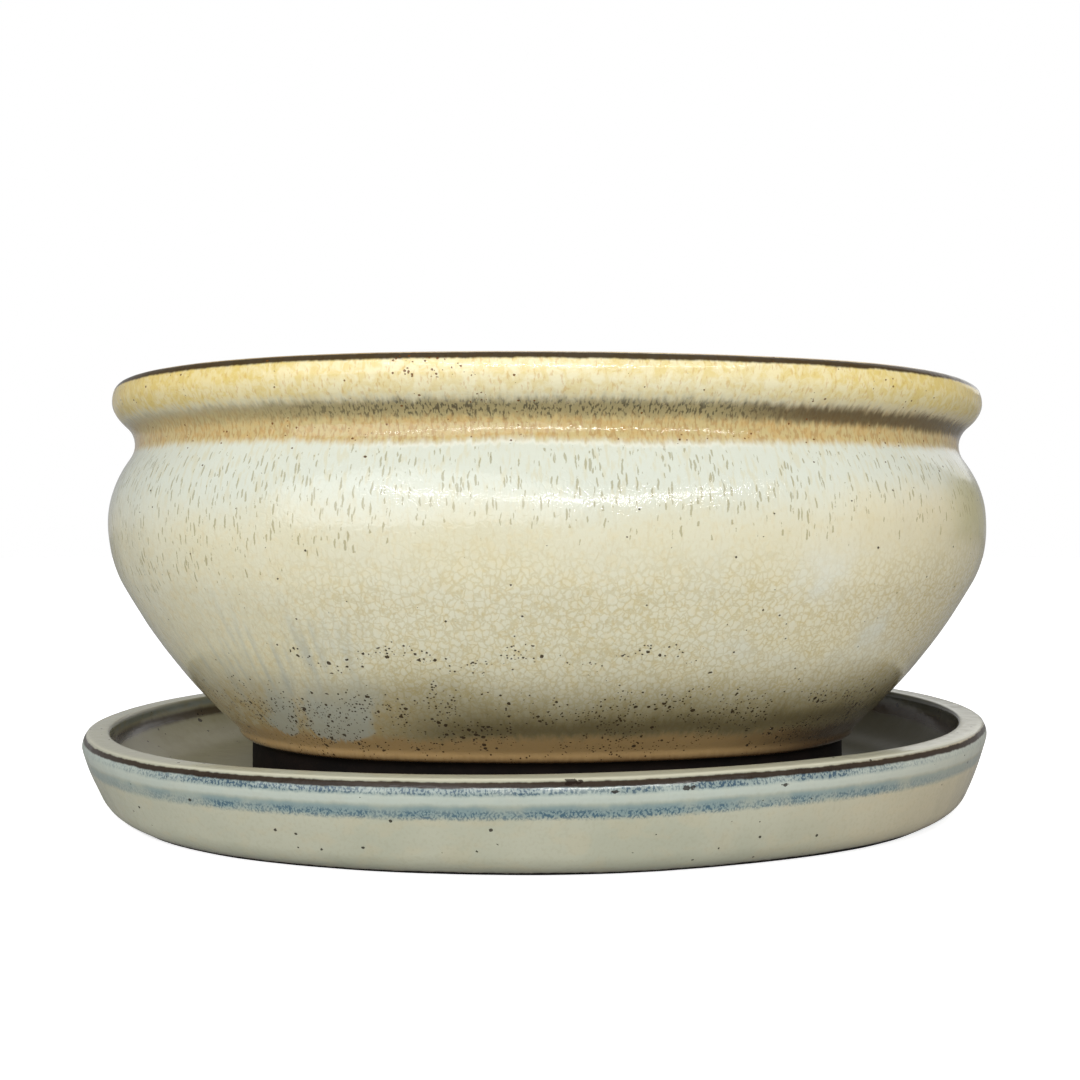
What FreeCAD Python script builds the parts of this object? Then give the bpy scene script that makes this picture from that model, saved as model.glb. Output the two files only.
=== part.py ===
"""Oval glazed bonsai pot standing in its drip tray, with the fittings that hold soil and tree.

Millimetres. Origin at the centre of the tray's base, +X along the length, +Y to the back, +Z up.
Both ceramic pieces are ovals of four tangent arcs. Every height and inset of their walls is drawn
once, as a closed profile at the +X end, and swept round the oval, so a wall is as thick all round.
"""

import FreeCAD
import Part
import Sketcher
import math
import os

from FreeCAD import Vector

# Alias, value in millimetres, meaning. Insets run inwards from the outline, heights up from the table.
DIMENSIONS = (
    ("tray_half_length", 130.0, "tray outline, half length"),
    ("tray_half_width", 102.9, "tray outline, half width"),
    ("tray_end_radius", 95.0, "tray outline, radius of its end arcs"),
    ("tray_base_inset", 11.8, "tray, outer edge of the unglazed base"),
    ("tray_heel_inset", 10.4, "tray, inset where the base rounds into the wall"),
    ("tray_heel_z", 1.2, "tray, height where the base rounding starts"),
    ("tray_hip_inset", 4.9, "tray, inset of the wall above the base rounding"),
    ("tray_hip_z", 7.1, "tray, height of the wall above the base rounding"),
    ("tray_heel_radius", 10.0, "tray, base rounding"),
    ("tray_widest_z", 20.6, "tray, height of its widest place"),
    ("tray_wall_radius", 75.0, "tray, outward bow of the wall"),
    ("tray_brow_inset", 0.8, "tray, inset under the rim's outer edge"),
    ("tray_brow_z", 23.4, "tray, height under the rim's outer edge"),
    ("tray_brow_radius", 5.5, "tray, rounding of the wall under the rim"),
    ("tray_rim_outer_inset", 2.0, "tray, outer edge of the flat rim"),
    ("tray_rim_z", 24.2, "tray, top of the rim"),
    ("tray_rim_radius", 1.5, "tray, rounding of the rim's edges"),
    ("tray_rim_inner_inset", 6.4, "tray, inner edge of the flat rim"),
    ("tray_lip_inset", 7.4, "tray, inner face under the rim"),
    ("tray_lip_top_z", 23.2, "tray, top of the inner face"),
    ("tray_lip_foot_z", 19.8, "tray, foot of the inner face"),
    ("tray_cove_inset", 21.5, "tray, inset where the wall meets the floor inside"),
    ("tray_cove_radius", 17.0, "tray, cove between wall and floor"),
    ("tray_floor_z", 8.5, "tray, height of the floor that the pot stands on"),
    ("tray_ring_inset", 25.0, "tray, inner edge of the base that touches the table"),
    ("tray_recess_inset", 26.5, "tray, edge of the recess under the floor"),
    ("tray_recess_z", 1.5, "tray, depth of the recess under the floor"),
    ("tray_centre_inset", 34.0, "tray, inset of the plain middle of the floor"),
    ("pot_shift", 3.4, "pot, how far it stands off the tray's centre along X"),
    ("pot_half_length", 126.6, "pot outline, half length at the belly"),
    ("pot_half_width", 98.7, "pot outline, half width at the belly"),
    ("pot_end_radius", 93.9, "pot outline, radius of its end arcs"),
    ("pot_foot_inset", 39.2, "pot, outer face of the foot ring"),
    ("pot_foot_top_z", 18.8, "pot, top of the foot ring's outer face"),
    ("pot_glaze_inset", 37.0, "pot, inset of the edge where the glaze ends"),
    ("pot_glaze_z", 19.8, "pot, height of the edge where the glaze ends"),
    ("pot_glaze_radius", 2.4, "pot, rounding of that edge"),
    ("pot_flare_inset", 35.2, "pot, foot of the flaring wall"),
    ("pot_flare_z", 22.4, "pot, height of the foot of the flaring wall"),
    ("pot_flare_radius", 170.0, "pot, outward bow of the flaring wall"),
    ("pot_waist_inset", 3.4, "pot, inset where the flare turns into the belly"),
    ("pot_waist_z", 64.5, "pot, height where the flare turns into the belly"),
    ("pot_belly_radius", 35.0, "pot, belly below its widest place"),
    ("pot_belly_z", 79.5, "pot, height of its widest place"),
    ("pot_shoulder_radius", 31.0, "pot, shoulder above its widest place"),
    ("pot_shoulder_inset", 5.7, "pot, inset at the top of the shoulder"),
    ("pot_shoulder_z", 97.5, "pot, height at the top of the shoulder"),
    ("pot_neck_radius", 7.0, "pot, hollow of the neck"),
    ("pot_lip_foot_inset", 5.2, "pot, underside of the lip"),
    ("pot_lip_foot_z", 107.0, "pot, height of the lip's underside"),
    ("pot_lip_under_radius", 10.0, "pot, rounding under the lip"),
    ("pot_lip_inset", 1.4, "pot, outer face of the lip"),
    ("pot_lip_face_z", 112.2, "pot, foot of the lip's outer face"),
    ("pot_lip_face_radius", 9.0, "pot, outward bow of the lip's face"),
    ("pot_brow_inset", 1.9, "pot, top of the lip's outer face"),
    ("pot_brow_z", 116.6, "pot, height of the top of the lip's outer face"),
    ("pot_crown_radius", 3.0, "pot, rounding of the lip's outer edge"),
    ("pot_crown_inset", 4.4, "pot, outer edge of the lip's flat top"),
    ("pot_rim_z", 118.0, "pot, top of the lip"),
    ("pot_rim_inner_inset", 9.6, "pot, inner edge of the lip's flat top"),
    ("pot_throat_inset", 11.6, "pot, inner face of the lip"),
    ("pot_throat_top_z", 116.0, "pot, top of the lip's inner face"),
    ("pot_throat_radius", 2.4, "pot, rounding of the lip's inner edge"),
    ("pot_throat_foot_inset", 13.6, "pot, inner face at the neck"),
    ("pot_throat_foot_z", 101.0, "pot, height of the neck inside"),
    ("pot_inner_shoulder_radius", 30.0, "pot, inside of the shoulder"),
    ("pot_inner_belly_inset", 6.8, "pot, inner face at the belly"),
    ("pot_inner_belly_radius", 30.0, "pot, inside of the belly"),
    ("pot_inner_waist_inset", 10.6, "pot, inner face where the belly turns into the flare"),
    ("pot_inner_waist_z", 64.5, "pot, height of that turn inside"),
    ("pot_inner_flare_radius", 90.0, "pot, inside of the flaring wall"),
    ("pot_inner_foot_inset", 40.6, "pot, foot of the inner wall"),
    ("pot_inner_foot_z", 27.5, "pot, height of the foot of the inner wall"),
    ("pot_inner_cove_inset", 46.0, "pot, edge of the level floor inside"),
    ("pot_inner_cove_radius", 6.5, "pot, cove between inner wall and floor"),
    ("pot_floor_z", 24.5, "pot, top of the floor"),
    ("pot_centre_inset", 56.0, "pot, inset of the plain middle of the floor"),
    ("pot_underside_z", 16.5, "pot, underside of the floor, inside the foot ring"),
    ("pot_foot_inner_inset", 48.0, "pot, inner face of the foot ring"),
    ("notch_width", 14.0, "foot ring, width of a drain notch"),
    ("notch_height", 4.0, "foot ring, height of a drain notch"),
    ("notch_spread", 30.0, "foot ring, distance of each notch from the middle of the back"),
    ("drill_overrun", 1.0, "how far each hole is cut past the floor"),
    ("drain_radius", 10.0, "drain hole radius"),
    ("drain_spread", 38.0, "drain hole distance from the pot's middle along X"),
    ("wire_hole_radius", 2.5, "tie wire hole radius"),
    ("wire_hole_spread_x", 61.0, "tie wire hole distance from the pot's middle along X"),
    ("wire_hole_spread_y", 22.0, "tie wire hole distance from the pot's middle along Y"),
    ("mesh_side", 36.1, "drain screen, side of the square"),
    ("mesh_thickness", 1.0, "drain screen thickness"),
    ("mesh_pitch", 3.2, "drain screen, distance from one opening to the next"),
    ("mesh_opening", 2.3, "drain screen, side of an opening"),
    ("mesh_cells", 11, "drain screen, openings along a side"),
    ("clip_wire_radius", 0.75, "screen clip, wire radius"),
    ("clip_leg_cells", 2, "screen clip, openings between each leg and the hole's axis"),
    ("clip_bend_radius", 1.6, "screen clip, bend radius of the wire's middle line"),
    ("clip_toe_x", 14.5, "screen clip, how far its bent toes reach"),
    ("clip_gap", 0.1, "screen clip, play above the screen and under the floor"),
    ("tie_wire_radius", 1.0, "tie wire, wire radius"),
    ("tie_bend_radius", 3.0, "tie wire, bend radius of the wire's middle line"),
    ("tie_under_gap", 0.3, "tie wire, play under the pot's floor"),
    ("tie_rise_z", 27.5, "tie wire, height where it bends out of its hole"),
    ("tie_knee_y", 40.0, "tie wire, where it leaves the floor"),
    ("tie_knee_z", 29.5, "tie wire, height where it leaves the floor"),
    ("tie_elbow_y", 69.0, "tie wire, where it turns up along the wall"),
    ("tie_elbow_z", 60.0, "tie wire, height where it turns up along the wall"),
    ("tie_end_y", 75.5, "tie wire, its end"),
    ("tie_end_z", 94.0, "tie wire, height of its end"),
)

# Closed profiles, counter-clockwise. Each corner: inset alias, height alias, then the arc to the next
# corner as its radius alias and turn (1 turns left, -1 turns right), or None for a straight side.
TRAY_PROFILE = (
    ("tray_base_inset", None, None),
    ("tray_heel_inset", "tray_heel_z", ("tray_heel_radius", 1)),
    ("tray_hip_inset", "tray_hip_z", ("tray_wall_radius", 1)),
    (None, "tray_widest_z", ("tray_brow_radius", 1)),
    ("tray_brow_inset", "tray_brow_z", ("tray_rim_radius", 1)),
    ("tray_rim_outer_inset", "tray_rim_z", None),
    ("tray_rim_inner_inset", "tray_rim_z", ("tray_rim_radius", 1)),
    ("tray_lip_inset", "tray_lip_top_z", None),
    ("tray_lip_inset", "tray_lip_foot_z", ("tray_cove_radius", -1)),
    ("tray_cove_inset", "tray_floor_z", None),
    ("tray_centre_inset", "tray_floor_z", None),
    ("tray_centre_inset", "tray_recess_z", None),
    ("tray_recess_inset", "tray_recess_z", None),
    ("tray_ring_inset", None, None),
)
POT_PROFILE = (
    ("pot_foot_inset", "tray_floor_z", None),
    ("pot_foot_inset", "pot_foot_top_z", None),
    ("pot_glaze_inset", "pot_glaze_z", ("pot_glaze_radius", 1)),
    ("pot_flare_inset", "pot_flare_z", ("pot_flare_radius", 1)),
    ("pot_waist_inset", "pot_waist_z", ("pot_belly_radius", 1)),
    (None, "pot_belly_z", ("pot_shoulder_radius", 1)),
    ("pot_shoulder_inset", "pot_shoulder_z", ("pot_neck_radius", -1)),
    ("pot_lip_foot_inset", "pot_lip_foot_z", ("pot_lip_under_radius", 1)),
    ("pot_lip_inset", "pot_lip_face_z", ("pot_lip_face_radius", 1)),
    ("pot_brow_inset", "pot_brow_z", ("pot_crown_radius", 1)),
    ("pot_crown_inset", "pot_rim_z", None),
    ("pot_rim_inner_inset", "pot_rim_z", ("pot_throat_radius", 1)),
    ("pot_throat_inset", "pot_throat_top_z", None),
    ("pot_throat_foot_inset", "pot_throat_foot_z", ("pot_inner_shoulder_radius", -1)),
    ("pot_inner_belly_inset", "pot_belly_z", ("pot_inner_belly_radius", -1)),
    ("pot_inner_waist_inset", "pot_inner_waist_z", ("pot_inner_flare_radius", -1)),
    ("pot_inner_foot_inset", "pot_inner_foot_z", ("pot_inner_cove_radius", -1)),
    ("pot_inner_cove_inset", "pot_floor_z", None),
    ("pot_centre_inset", "pot_floor_z", None),
    ("pot_centre_inset", "pot_underside_z", None),
    ("pot_foot_inner_inset", "pot_underside_z", None),
    ("pot_foot_inner_inset", "tray_floor_z", None),
)

SIDES = (("left", -1), ("right", 1))
START, END, CENTRE = 1, 2, 3
ORIGIN, X_AXIS, Y_AXIS = (-1, 1), -1, -2

doc = FreeCAD.newDocument("BonsaiPot")


def make_sheet():
    sheet = doc.addObject("Spreadsheet::Sheet", "Dims")
    for row, (alias, value, meaning) in enumerate(DIMENSIONS, start=1):
        sheet.set(f"A{row}", meaning)
        sheet.set(f"B{row}", str(value))
        sheet.setAlias(f"B{row}", alias)
    doc.recompute()
    return sheet


dims = make_sheet()


def value(alias):
    return float(dims.get(alias))


def cell(alias):
    return f"Dims.{alias}"


def make_body(label):
    body = doc.addObject("PartDesign::Body", label)
    body.Label = label
    return body


def make_sketch(body, name, role, offset=None):
    """A sketch on one of the body's origin planes, moved along its normal by the expression offset."""
    sketch = body.newObject("Sketcher::SketchObject", name)
    plane = next(o for o in body.Origin.OriginFeatures if o.Role == role)
    sketch.AttachmentSupport = [(plane, "")]
    sketch.MapMode = "FlatFace"
    if offset is not None:
        sketch.setExpression("AttachmentOffset.Base.z", offset)
    doc.recompute()
    return sketch


def bind(sketch, name, kind, places, number, expression):
    """Adds one dimension to a sketch and ties it to the sheet."""
    index = sketch.addConstraint(Sketcher.Constraint(kind, *places, number))
    sketch.renameConstraint(index, name)
    sketch.setExpression(f"Constraints.{name}", expression)


def pin_point(sketch, name, geometry, point, x, y):
    """Fixes a point by its (number, expression) along each sketch axis."""
    for kind, axis, (number, expression) in (("DistanceX", Y_AXIS, x), ("DistanceY", X_AXIS, y)):
        if expression is None:
            sketch.addConstraint(Sketcher.Constraint("PointOnObject", geometry, point, axis))
        else:
            bind(sketch, name + kind, kind, (*ORIGIN, geometry, point), number, expression)


def arc_between(start, end, radius, turn):
    """The minor arc from start to end that turns left (1) or right (-1)."""
    chord = end - start
    middle = (start + end) * 0.5
    left = Vector(-chord.y, chord.x, 0).normalize()
    centre = middle + left * (turn * math.sqrt(radius**2 - (chord.Length / 2) ** 2))
    first, last = (start, end) if turn > 0 else (end, start)
    angles = [math.atan2(p.y - centre.y, p.x - centre.x) for p in (first, last)]
    return Part.ArcOfCircle(Part.Circle(centre, Vector(0, 0, 1), radius), *angles)


def draw_chain(sketch, corners, name="corner"):
    """Draws a closed chain through corners, each ((x, expression), (y, expression), arc)."""
    points = [Vector(x[0], y[0], 0) for x, y, arc in corners]
    sides = []
    for i, (x, y, arc) in enumerate(corners):
        start, end = points[i], points[(i + 1) % len(points)]
        if arc is None:
            geometry = sketch.addGeometry(Part.LineSegment(start, end), False)
            sides.append((geometry, START, END))
            continue
        radius, turn = arc
        geometry = sketch.addGeometry(arc_between(start, end, value(radius), turn), False)
        sides.append((geometry, START, END) if turn > 0 else (geometry, END, START))
        bind(sketch, f"radius{i}", "Radius", (geometry,), value(radius), cell(radius))
    for i, (x, y, arc) in enumerate(corners):
        before, _, before_end = sides[i - 1]
        geometry, start, _ = sides[i]
        sketch.addConstraint(Sketcher.Constraint("Coincident", before, before_end, geometry, start))
        pin_point(sketch, f"{name}{i}", geometry, start, x, y)


def draw_bent_path(sketch, corners, radius):
    """Draws straight runs joined by tangent bends, on a construction line through the corners."""
    points = [Vector(x[0], y[0], 0) for x, y in corners]
    skeleton = []
    for i in range(len(points) - 1):
        line = sketch.addGeometry(Part.LineSegment(points[i], points[i + 1]), True)
        if skeleton:
            sketch.addConstraint(Sketcher.Constraint("Coincident", skeleton[-1], END, line, START))
        skeleton.append(line)
        pin_point(sketch, f"corner{i}", line, START, *corners[i])
    pin_point(sketch, "last", skeleton[-1], END, *corners[-1])
    bends = [bend_at(*points[i : i + 3], value(radius)) for i in range(len(points) - 2)]
    starts = [points[0]] + [bend[2] for bend in bends]
    stops = [bend[1] for bend in bends] + [points[-1]]
    runs = []
    for i, line in enumerate(skeleton):
        run = sketch.addGeometry(Part.LineSegment(starts[i], stops[i]), False)
        for point, at_end in ((START, i == 0), (END, i == len(skeleton) - 1)):
            kind = ("Coincident", run, point, line, point) if at_end else ("PointOnObject", run, point, line)
            sketch.addConstraint(Sketcher.Constraint(*kind))
        runs.append(run)
    for i, (arc, _, _, turn) in enumerate(bends):
        bend = sketch.addGeometry(arc, False)
        enter, leave = (START, END) if turn > 0 else (END, START)
        sketch.addConstraint(Sketcher.Constraint("Tangent", runs[i], END, bend, enter))
        sketch.addConstraint(Sketcher.Constraint("Tangent", bend, leave, runs[i + 1], START))
        bind(sketch, f"bend{i}", "Radius", (bend,), value(radius), cell(radius))


def bend_at(before, corner, after, radius):
    """The tangent arc at a corner, where it starts and stops, and its turn."""
    arrive = (corner - before).normalize()
    depart = (after - corner).normalize()
    turn = 1 if arrive.x * depart.y - arrive.y * depart.x > 0 else -1
    trim = radius * math.tan(arrive.getAngle(depart) / 2)
    start = corner - arrive * trim
    stop = corner + depart * trim
    return arc_between(start, stop, radius, turn), start, stop, turn


def wall_corners(piece, profile):
    """The profile's corners at the +X end of the oval."""
    half_length = f"{piece}_half_length"
    corners = []
    for inset, height, arc in profile:
        x = (value(half_length), cell(half_length))
        if inset is not None:
            x = (value(half_length) - value(inset), f"{cell(half_length)} - {cell(inset)}")
        y = (0.0, None) if height is None else (value(height), cell(height))
        corners.append((x, y, arc))
    return corners


def draw_oval(sketch, piece, inset=None):
    """Four tangent arcs, symmetric about both axes, inset from the piece's outline."""
    names = [f"{piece}_half_length", f"{piece}_half_width", f"{piece}_end_radius"]
    half_length, half_width, end_radius = (value(n) for n in names)
    a, b, r = (cell(n) for n in names)
    side = f"({a} * {a} + {b} * {b} - 2 * {a} * {r}) / (2 * ({b} - {r}))"
    side_radius = (half_length**2 + half_width**2 - 2 * half_length * end_radius) / (
        2 * (half_width - end_radius)
    )
    depth = 0.0 if inset is None else value(inset)
    inwards = "" if inset is None else f" - {cell(inset)}"
    reach = half_length - end_radius
    drop = side_radius - half_width
    split = math.atan2(drop, reach)
    turns = (-split, split, math.pi - split, math.pi + split, 2 * math.pi - split)
    centres = (Vector(reach, 0, 0), Vector(0, -drop, 0), Vector(-reach, 0, 0), Vector(0, drop, 0))
    radii = (end_radius - depth, side_radius - depth) * 2
    for i in range(4):
        circle = Part.Circle(centres[i], Vector(0, 0, 1), radii[i])
        sketch.addGeometry(Part.ArcOfCircle(circle, turns[i], turns[i + 1]), False)
    for i in range(3):
        sketch.addConstraint(Sketcher.Constraint("Tangent", i, END, i + 1, START))
    sketch.addConstraint(Sketcher.Constraint("Coincident", 3, END, 0, START))
    for geometry, axis in ((0, X_AXIS), (1, Y_AXIS), (2, X_AXIS)):
        sketch.addConstraint(Sketcher.Constraint("Symmetric", geometry, START, geometry, END, axis))
    bind(sketch, "endRadius", "Radius", (0,), radii[0], f"{r}{inwards}")
    bind(sketch, "sideRadius", "Radius", (1,), radii[1], f"{side}{inwards}")
    bind(sketch, "endCentre", "DistanceX", (*ORIGIN, 0, CENTRE), reach, f"{a} - {r}")


def sweep(body, name, profile, path):
    pipe = body.newObject("PartDesign::AdditivePipe", name)
    pipe.Profile = profile
    pipe.Spine = path
    doc.recompute()
    return pipe


def cut(body, name, sketch, length):
    """A pocket that is checked to take material away."""
    before = body.Shape.Volume
    pocket = body.newObject("PartDesign::Pocket", name)
    pocket.Profile = sketch
    pocket.setExpression("Length", length)
    doc.recompute()
    if not body.Shape.Volume < before:
        raise RuntimeError(f"{body.Label}: {name} cuts nothing")
    return pocket


def mirror(body, name, original, role):
    mirrored = body.newObject("PartDesign::Mirrored", name)
    mirrored.Originals = [original]
    mirrored.MirrorPlane = (next(o for o in body.Origin.OriginFeatures if o.Role == role), [""])
    body.Tip = mirrored
    doc.recompute()


def oval_vessel(label, piece, profile, centre_inset, bottom, top):
    """A ring of wall swept round the oval, closed by a flat oval floor."""
    body = make_body(label)
    outline = make_sketch(body, "Outline", "XY_Plane")
    draw_oval(outline, piece)
    wall = make_sketch(body, "WallProfile", "XZ_Plane")
    draw_chain(wall, wall_corners(piece, profile))
    doc.recompute()
    sweep(body, "Wall", wall, outline)
    middle = make_sketch(body, "FloorOutline", "XY_Plane", cell(bottom))
    draw_oval(middle, piece, centre_inset)
    floor = body.newObject("PartDesign::Pad", "Floor")
    floor.Profile = middle
    floor.setExpression("Length", f"{cell(top)} - {cell(bottom)}")
    doc.recompute()
    return body


def make_tray():
    return oval_vessel(
        "drip_tray", "tray", TRAY_PROFILE, "tray_centre_inset", "tray_recess_z", "tray_floor_z"
    )


def draw_circle(sketch, name, x, y, radius):
    circle = Part.Circle(Vector(x[0], y[0], 0), Vector(0, 0, 1), value(radius))
    geometry = sketch.addGeometry(circle, False)
    bind(sketch, f"{name}Radius", "Radius", (geometry,), value(radius), cell(radius))
    pin_point(sketch, name, geometry, CENTRE, x, y)


def draw_rectangle(sketch, low_x, high_x, low_y, high_y):
    corners = ((low_x, low_y), (high_x, low_y), (high_x, high_y), (low_x, high_y))
    draw_chain(sketch, [(x, y, None) for x, y in corners])


def signed(sign, alias):
    """A cell's value and expression, negated when sign is -1."""
    return (sign * value(alias), f"{sign} * {cell(alias)}")


def make_pot():
    body = oval_vessel(
        "pot_body", "pot", POT_PROFILE, "pot_centre_inset", "pot_underside_z", "pot_floor_z"
    )
    through = f"{cell('pot_floor_z')} - {cell('pot_underside_z')} + {cell('drill_overrun')}"
    drains = make_sketch(body, "DrainHoles", "XY_Plane", cell("pot_floor_z"))
    for name, sign in SIDES:
        draw_circle(drains, name, signed(sign, "drain_spread"), (0.0, None), "drain_radius")
    cut(body, "DrainPocket", drains, through)
    holes = make_sketch(body, "WireHoles", "XY_Plane", cell("pot_floor_z"))
    for name, sign in SIDES:
        for row, depth in (("Front", -1), ("Back", 1)):
            x = signed(sign, "wire_hole_spread_x")
            y = signed(depth, "wire_hole_spread_y")
            draw_circle(holes, name + row, x, y, "wire_hole_radius")
    cut(body, "WirePocket", holes, through)
    for name, sign in SIDES:
        notch = make_sketch(body, f"Notch_{name}", "XZ_Plane")
        middle = sign * value("notch_spread")
        half = value("notch_width") / 2
        text = f"{sign} * {cell('notch_spread')}"
        top = value("tray_floor_z") + value("notch_height")
        draw_rectangle(
            notch,
            (middle - half, f"{text} - {cell('notch_width')} / 2"),
            (middle + half, f"{text} + {cell('notch_width')} / 2"),
            (value("tray_floor_z"), cell("tray_floor_z")),
            (top, f"{cell('tray_floor_z')} + {cell('notch_height')}"),
        )
        cut(body, f"NotchPocket_{name}", notch, cell("pot_half_width"))
    body.setExpression("Placement.Base.x", cell("pot_shift"))
    return body


def make_screen(side, sign):
    """A square of plastic mesh over a drain hole, drawn about the hole's axis on the pot's floor."""
    body = make_body(f"drain_screen_{side}")
    square = make_sketch(body, "Square", "XY_Plane")
    low = (-value("mesh_side") / 2, f"-{cell('mesh_side')} / 2")
    high = (value("mesh_side") / 2, f"{cell('mesh_side')} / 2")
    draw_rectangle(square, low, high, low, high)
    plate = body.newObject("PartDesign::Pad", "Plate")
    plate.Profile = square
    plate.setExpression("Length", cell("mesh_thickness"))
    doc.recompute()
    opening = make_sketch(body, "Opening", "XY_Plane", cell("mesh_thickness"))
    first = (value("mesh_cells") - 1) * value("mesh_pitch") / 2
    text = f"-({cell('mesh_cells')} - 1) * {cell('mesh_pitch')} / 2"
    half = value("mesh_opening") / 2
    low = (-first - half, f"{text} - {cell('mesh_opening')} / 2")
    high = (-first + half, f"{text} + {cell('mesh_opening')} / 2")
    draw_rectangle(opening, low, high, low, high)
    pocket = cut(body, "OpeningPocket", opening, f"{cell('mesh_thickness')} * 2")
    grid = body.newObject("PartDesign::MultiTransform", "Grid")
    rows = []
    for name, axis in (("AlongX", "H_Axis"), ("AlongY", "V_Axis")):
        row = body.newObject("PartDesign::LinearPattern", name)
        row.Direction = (opening, [axis])
        row.setExpression("Length", f"({cell('mesh_cells')} - 1) * {cell('mesh_pitch')}")
        row.setExpression("Occurrences", cell("mesh_cells"))
        rows.append(row)
    grid.Originals = [pocket]
    grid.Transformations = rows
    body.Tip = grid
    doc.recompute()
    place_at_drain(body, sign)
    return body


def place_at_drain(body, sign):
    body.setExpression("Placement.Base.x", f"{cell('pot_shift')} + {sign} * {cell('drain_spread')}")
    body.setExpression("Placement.Base.z", cell("pot_floor_z"))


def bent_wire(label, path_role, section_role, corners, wire_radius, bend_radius):
    """A round wire whose half path starts on the mirror plane, then its mirror image."""
    body = make_body(label)
    path = make_sketch(body, "Path", path_role)
    draw_bent_path(path, corners, bend_radius)
    section = make_sketch(body, "Section", section_role)
    draw_circle(section, "wire", (0.0, None), corners[0][1], wire_radius)
    doc.recompute()
    half = sweep(body, "HalfWire", section, path)
    mirror(body, "OtherHalf", half, section_role)
    return body


def make_clip(side, sign):
    """Wire across the top of a screen, down through the hole and out under the floor."""
    leg = (
        value("clip_leg_cells") * value("mesh_pitch"),
        f"{cell('clip_leg_cells')} * {cell('mesh_pitch')}",
    )
    play = value("clip_gap") + value("clip_wire_radius")
    play_text = f"{cell('clip_gap')} + {cell('clip_wire_radius')}"
    thickness = value("pot_floor_z") - value("pot_underside_z")
    thickness_text = f"{cell('pot_floor_z')} - {cell('pot_underside_z')}"
    over = (value("mesh_thickness") + play, f"{cell('mesh_thickness')} + {play_text}")
    under = (-(thickness + play), f"-({thickness_text} + {play_text})")
    toe = (value("clip_toe_x"), cell("clip_toe_x"))
    corners = (((0.0, None), over), (leg, over), (leg, under), (toe, under))
    body = bent_wire(
        f"screen_clip_{side}", "XZ_Plane", "YZ_Plane", corners, "clip_wire_radius", "clip_bend_radius"
    )
    place_at_drain(body, sign)
    return body


def make_tie_wire(side, sign):
    """Wire under the floor, up through two holes and up the front and back walls inside."""
    drop = value("tie_under_gap") + value("tie_wire_radius")
    drop_text = f"({cell('tie_under_gap')} + {cell('tie_wire_radius')})"
    under = (value("pot_underside_z") - drop, f"{cell('pot_underside_z')} - {drop_text}")
    hole = (value("wire_hole_spread_y"), cell("wire_hole_spread_y"))
    places = [((0.0, None), under), (hole, under), (hole, (value("tie_rise_z"), cell("tie_rise_z")))]
    for name in ("knee", "elbow", "end"):
        y, z = f"tie_{name}_y", f"tie_{name}_z"
        places.append(((value(y), cell(y)), (value(z), cell(z))))
    body = bent_wire(
        f"tie_wire_{side}", "YZ_Plane", "XZ_Plane", places, "tie_wire_radius", "tie_bend_radius"
    )
    spread = f"{cell('pot_shift')} + {sign} * {cell('wire_hole_spread_x')}"
    body.setExpression("Placement.Base.x", spread)
    return body


def check_and_export(bodies):
    doc.recompute()
    for item in doc.Objects:
        if "Invalid" in item.State or "Error" in item.State:
            raise RuntimeError(f"{item.Name} failed: {item.State}")
    os.makedirs("parts", exist_ok=True)
    for body in bodies:
        shape = body.Shape
        if shape.isNull() or not shape.isValid() or len(shape.Solids) != 1:
            raise RuntimeError(f"{body.Label} is not one valid solid")
        shape.exportStep(f"parts/{body.Label}.step")
        print(f"{body.Label}: {shape.Volume / 1000:.2f} cm3")


pieces = [make_tray(), make_pot()]
for make_fitting in (make_screen, make_clip, make_tie_wire):
    pieces += [make_fitting(side, sign) for side, sign in SIDES]
check_and_export(pieces)
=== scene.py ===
"""Glazed oval bonsai pot standing in its drip tray: meshes, glazes, light and camera.

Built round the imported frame, in metres: X along the oval, Y to the back, Z up. Wall sections and
glaze patterns are written in millimetres, because that is the scale of what they describe.
"""

import math

import bmesh
import bpy
import numpy as np
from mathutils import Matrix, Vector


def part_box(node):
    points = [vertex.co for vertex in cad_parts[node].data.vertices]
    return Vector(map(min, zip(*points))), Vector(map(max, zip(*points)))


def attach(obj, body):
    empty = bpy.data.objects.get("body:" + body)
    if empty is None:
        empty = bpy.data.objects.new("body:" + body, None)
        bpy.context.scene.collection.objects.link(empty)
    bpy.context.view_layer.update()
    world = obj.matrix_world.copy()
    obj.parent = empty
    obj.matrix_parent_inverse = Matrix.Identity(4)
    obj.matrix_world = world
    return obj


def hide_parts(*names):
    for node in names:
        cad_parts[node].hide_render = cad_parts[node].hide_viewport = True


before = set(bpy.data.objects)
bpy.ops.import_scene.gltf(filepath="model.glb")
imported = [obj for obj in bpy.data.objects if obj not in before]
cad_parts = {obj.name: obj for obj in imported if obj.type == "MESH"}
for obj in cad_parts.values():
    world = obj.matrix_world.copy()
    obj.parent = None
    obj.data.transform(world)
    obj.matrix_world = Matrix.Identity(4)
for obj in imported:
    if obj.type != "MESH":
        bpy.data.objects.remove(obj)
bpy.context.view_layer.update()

MM = 0.001

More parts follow.
